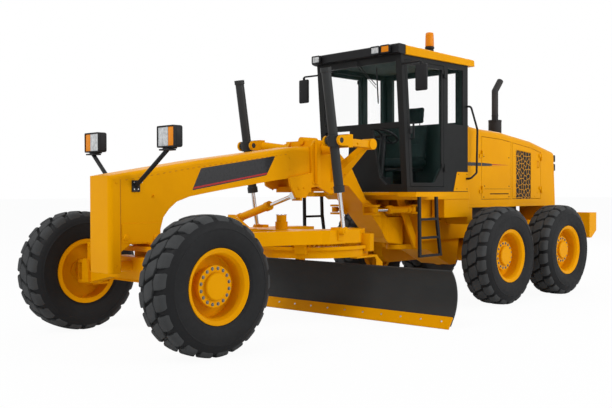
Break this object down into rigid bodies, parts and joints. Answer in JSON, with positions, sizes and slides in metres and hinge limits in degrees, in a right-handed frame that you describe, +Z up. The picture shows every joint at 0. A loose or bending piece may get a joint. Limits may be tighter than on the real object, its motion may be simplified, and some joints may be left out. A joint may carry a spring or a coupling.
{
  "type": "motor grader",
  "caption": "Articulated motor grader with a drawbar, turning circle, curved blade, leaning steered front wheels and a cab.",
  "frame": {"origin": "middle of the machine's bounding box, on the ground", "axes": "+X forward along the machine, +Y to its left, +Z up"},
  "size_m": [8.77, 3.8649, 3.64],
  "materials": {
    "yellow_paint": "gloss",
    "graphite_paint": "satin",
    "black_paint": "satin",
    "exhaust_paint": "matte",
    "cast_iron": "matte",
    "steel": "satin",
    "chrome": "polished",
    "tyre": "matte",
    "glass": "clear",
    "fabric": "matte",
    "black_plastic": "matte",
    "lamp_plastic": "gloss"
  },
  "bodies": {
    "rear": {"rear_frame": "yellow_paint", "counterweight": "yellow_paint", "tandem_cases": "yellow_paint", "engine": "cast_iron", "hood": "yellow_paint", "radiator_grille": "black_plastic", "exhaust": "exhaust_paint", "cab_frame": "graphite_paint", "cab_glass": "glass", "cab_roof": "yellow_paint", "cab_seat": "fabric", "cab_console": "black_plastic", "deck_and_tanks": "yellow_paint", "ladders_and_handrails": "black_paint", "visor_and_lamps": "black_plastic"},
    "front": {"front_frame": "yellow_paint", "saddle": "yellow_paint", "headlamps_and_hoses": "black_plastic", "front_axle": "yellow_paint"},
    "cab_door_left": {"cab_door_left": "graphite_paint", "cab_door_glass_left": "glass"},
    "cab_door_right": {"cab_door_right": "graphite_paint", "cab_door_glass_right": "glass"},
    "engine_door_left": {"engine_door_left": "yellow_paint"},
    "engine_door_right": {"engine_door_right": "yellow_paint"},
    "radiator_door_left": {"radiator_door_left": "yellow_paint"},
    "radiator_door_right": {"radiator_door_right": "yellow_paint"},
    "lean_left": {"lean_knuckle_left": "yellow_paint"},
    "lean_right": {"lean_knuckle_right": "yellow_paint"},
    "lean_bar": {"lean_bar": "yellow_paint"},
    "steer_left": {"steer_knuckle_left": "yellow_paint"},
    "steer_right": {"steer_knuckle_right": "yellow_paint"},
    "tie_rod_ball": {"tie_rod_ball": "steel"},
    "tie_rod": {"tie_rod": "yellow_paint"},
    "drawbar": {"drawbar": "yellow_paint"},
    "circle": {"circle": "yellow_paint"},
    "pinion": {"circle_pinion": "steel"},
    "blade_carrier": {"blade_carrier": "yellow_paint"},
    "blade": {"moldboard": "graphite_paint", "cutting_edge": "yellow_paint"},
    "lift_barrels": {"lift_cylinder_barrels": "graphite_paint"},
    "lift_rods": {"lift_cylinder_rods": "chrome"},
    "shift_rod": {"shift_cylinder_rod": "chrome"},
    "shift_barrel": {"shift_cylinder_barrel": "yellow_paint"},
    "artic_barrel_left": {"articulation_barrel_left": "yellow_paint"},
    "artic_barrel_right": {"articulation_barrel_right": "yellow_paint"},
    "artic_rod_left": {"articulation_rod_left": "chrome"},
    "artic_rod_right": {"articulation_rod_right": "chrome"},
    "wheel_front_left": {"rim_front_left": "yellow_paint", "tyre_front_left": "tyre"},
    "wheel_front_right": {"rim_front_right": "yellow_paint", "tyre_front_right": "tyre"},
    "wheel_middle_left": {"rim_middle_left": "yellow_paint", "tyre_middle_left": "tyre"},
    "wheel_middle_right": {"rim_middle_right": "yellow_paint", "tyre_middle_right": "tyre"},
    "wheel_rear_left": {"rim_rear_left": "yellow_paint", "tyre_rear_left": "tyre"},
    "wheel_rear_right": {"rim_rear_right": "yellow_paint", "tyre_rear_right": "tyre"}
  },
  "joints": [
    {"name": "articulation", "type": "hinge", "parent": "rear", "child": "front", "pos_m": [-0.475, 0, 1], "axis": [0, 0, 1], "range_deg": [-26, 26]},
    {"name": "artic_cylinder_left", "type": "hinge", "parent": "rear", "child": "artic_barrel_left", "pos_m": [-0.355, 0.4, 1.29], "axis": [0, 0, 1], "range_deg": [-30.7, 30.7]},
    {"name": "artic_rod_left", "type": "slide", "parent": "artic_barrel_left", "child": "artic_rod_left", "axis": [0.9975, -0.0702, 0], "range_m": [-0.179, 0.179]},
    {"name": "artic_cylinder_right", "type": "hinge", "parent": "rear", "child": "artic_barrel_right", "pos_m": [-0.355, -0.4, 1.29], "axis": [0, 0, 1], "range_deg": [-30.7, 30.7]},
    {"name": "artic_rod_right", "type": "slide", "parent": "artic_barrel_right", "child": "artic_rod_right", "axis": [0.9975, 0.0702, 0], "range_m": [-0.179, 0.179]},
    {"name": "lean_left", "type": "hinge", "parent": "front", "child": "lean_left", "pos_m": [3.725, 0.82, 0.6], "axis": [1, 0, 0], "range_deg": [-17, 17]},
    {"name": "lean_right", "type": "hinge", "parent": "front", "child": "lean_right", "pos_m": [3.725, -0.82, 0.6], "axis": [1, 0, 0], "range_deg": [-17, 17]},
    {"name": "lean_bar", "type": "hinge", "parent": "lean_left", "child": "lean_bar", "pos_m": [3.725, 0.82, 0.95], "axis": [1, 0, 0], "range_deg": [-17, 17]},
    {"name": "steer_left", "type": "hinge", "parent": "lean_left", "child": "steer_left", "pos_m": [3.725, 0.95, 0.66], "axis": [0, 0, 1], "range_deg": [-45, 45]},
    {"name": "steer_right", "type": "hinge", "parent": "lean_right", "child": "steer_right", "pos_m": [3.725, -0.95, 0.66], "axis": [0, 0, 1], "range_deg": [-45, 45]},
    {"name": "tie_rod_ball", "type": "hinge", "parent": "steer_left", "child": "tie_rod_ball", "pos_m": [3.5, 0.95, 0.575], "axis": [0, 0, 1], "range_deg": [-45, 45]},
    {"name": "tie_rod", "type": "hinge", "parent": "tie_rod_ball", "child": "tie_rod", "pos_m": [3.5, 0.95, 0.575], "axis": [1, 0, 0], "range_deg": [-17, 17]},
    {"name": "wheel_front_left", "type": "hinge", "parent": "steer_left", "child": "wheel_front_left", "pos_m": [3.725, 1.153, 0.66], "axis": [0, 1, 0], "continuous": true},
    {"name": "wheel_front_right", "type": "hinge", "parent": "steer_right", "child": "wheel_front_right", "pos_m": [3.725, -1.153, 0.66], "axis": [0, 1, 0], "continuous": true},
    {"name": "wheel_middle_left", "type": "hinge", "parent": "rear", "child": "wheel_middle_left", "pos_m": [-1.28, 1.153, 0.66], "axis": [0, 1, 0], "continuous": true},
    {"name": "wheel_middle_right", "type": "hinge", "parent": "rear", "child": "wheel_middle_right", "pos_m": [-1.28, -1.153, 0.66], "axis": [0, 1, 0], "continuous": true},
    {"name": "wheel_rear_left", "type": "hinge", "parent": "rear", "child": "wheel_rear_left", "pos_m": [-2.87, 1.153, 0.66], "axis": [0, 1, 0], "continuous": true},
    {"name": "wheel_rear_right", "type": "hinge", "parent": "rear", "child": "wheel_rear_right", "pos_m": [-2.87, -1.153, 0.66], "axis": [0, 1, 0], "continuous": true},
    {"name": "drawbar_lift", "type": "hinge", "parent": "front", "child": "drawbar", "pos_m": [3.485, 0, 1], "axis": [0, 1, 0], "range_deg": [-12, 9.3]},
    {"name": "lift_cylinders", "type": "hinge", "parent": "front", "child": "lift_barrels", "pos_m": [1.56, 0, 2.11], "axis": [0, 1, 0], "range_deg": [-3.2, 2.53]},
    {"name": "lift_rods", "type": "slide", "parent": "lift_barrels", "child": "lift_rods", "axis": [-0.1567, 0, -0.9876], "range_m": [-0.3382, 0.4355]},
    {"name": "shift_cylinder", "type": "hinge", "parent": "front", "child": "shift_rod", "pos_m": [1.615, 0.145, 1.48], "axis": [1, 0, 0], "range_deg": [-15.2, 19.53]},
    {"name": "shift_barrel", "type": "slide", "parent": "shift_rod", "child": "shift_barrel", "axis": [0, -0.961, -0.2766], "range_m": [-0.0944, 0.121]},
    {"name": "circle_turn", "type": "hinge", "parent": "drawbar", "child": "circle", "pos_m": [1.165, 0, 0.8], "axis": [0, 0, 1], "continuous": true},
    {"name": "pinion_turn", "type": "hinge", "parent": "drawbar", "child": "pinion", "pos_m": [1.6775, 0, 1], "axis": [0, 0, 1], "continuous": true},
    {"name": "blade_tilt", "type": "hinge", "parent": "circle", "child": "blade_carrier", "pos_m": [0.76535, -0.01675, 0.3], "axis": [-0.0419, 0.9991, 0], "range_deg": [-20, 20]},
    {"name": "blade_shift", "type": "slide", "parent": "blade_carrier", "child": "blade", "axis": [0.0419, -0.9991, 0], "range_m": [-0.6, 0.6]},
    {"name": "cab_door_left", "type": "hinge", "parent": "rear", "child": "cab_door_left", "pos_m": [-0.61, 0.744, 2.3], "axis": [0, 0, 1], "range_deg": [0, 95]},
    {"name": "engine_door_left", "type": "hinge", "parent": "rear", "child": "engine_door_left", "pos_m": [-1.56, 0.714, 1.8], "axis": [0, 0, 1], "range_deg": [-95, 0]},
    {"name": "radiator_door_left", "type": "hinge", "parent": "rear", "child": "radiator_door_left", "pos_m": [-3.22, 0.714, 1.8], "axis": [0, 0, 1], "range_deg": [0, 95]},
    {"name": "cab_door_right", "type": "hinge", "parent": "rear", "child": "cab_door_right", "pos_m": [-0.61, -0.744, 2.3], "axis": [0, 0, 1], "range_deg": [-95, 0]},
    {"name": "engine_door_right", "type": "hinge", "parent": "rear", "child": "engine_door_right", "pos_m": [-1.56, -0.714, 1.8], "axis": [0, 0, 1], "range_deg": [0, 95]},
    {"name": "radiator_door_right", "type": "hinge", "parent": "rear", "child": "radiator_door_right", "pos_m": [-3.22, -0.714, 1.8], "axis": [0, 0, 1], "range_deg": [-95, 0]}
  ],
  "couplings": [
    {"joint": "artic_cylinder_left", "follows": "articulation", "ratio": 1.1628},
    {"joint": "artic_rod_left", "follows": "articulation", "m_per_rad": -0.38691},
    {"joint": "artic_cylinder_right", "follows": "articulation", "ratio": 1.1628},
    {"joint": "artic_rod_right", "follows": "articulation", "m_per_rad": 0.38691},
    {"joint": "lean_right", "follows": "lean_left", "ratio": 1},
    {"joint": "lean_bar", "follows": "lean_left", "ratio": -1},
    {"joint": "steer_right", "follows": "steer_left", "ratio": 1},
    {"joint": "tie_rod_ball", "follows": "steer_left", "ratio": -1},
    {"joint": "tie_rod", "follows": "lean_left", "ratio": -0.86316},
    {"joint": "lift_cylinders", "follows": "drawbar_lift", "ratio": 0.25},
    {"joint": "lift_rods", "follows": "drawbar_lift", "m_per_rad": -2.0651},
    {"joint": "shift_cylinder", "follows": "drawbar_lift", "ratio": -1.6024},
    {"joint": "shift_barrel", "follows": "drawbar_lift", "m_per_rad": -0.56325},
    {"joint": "pinion_turn", "follows": "circle_turn", "ratio": 6}
  ]
}
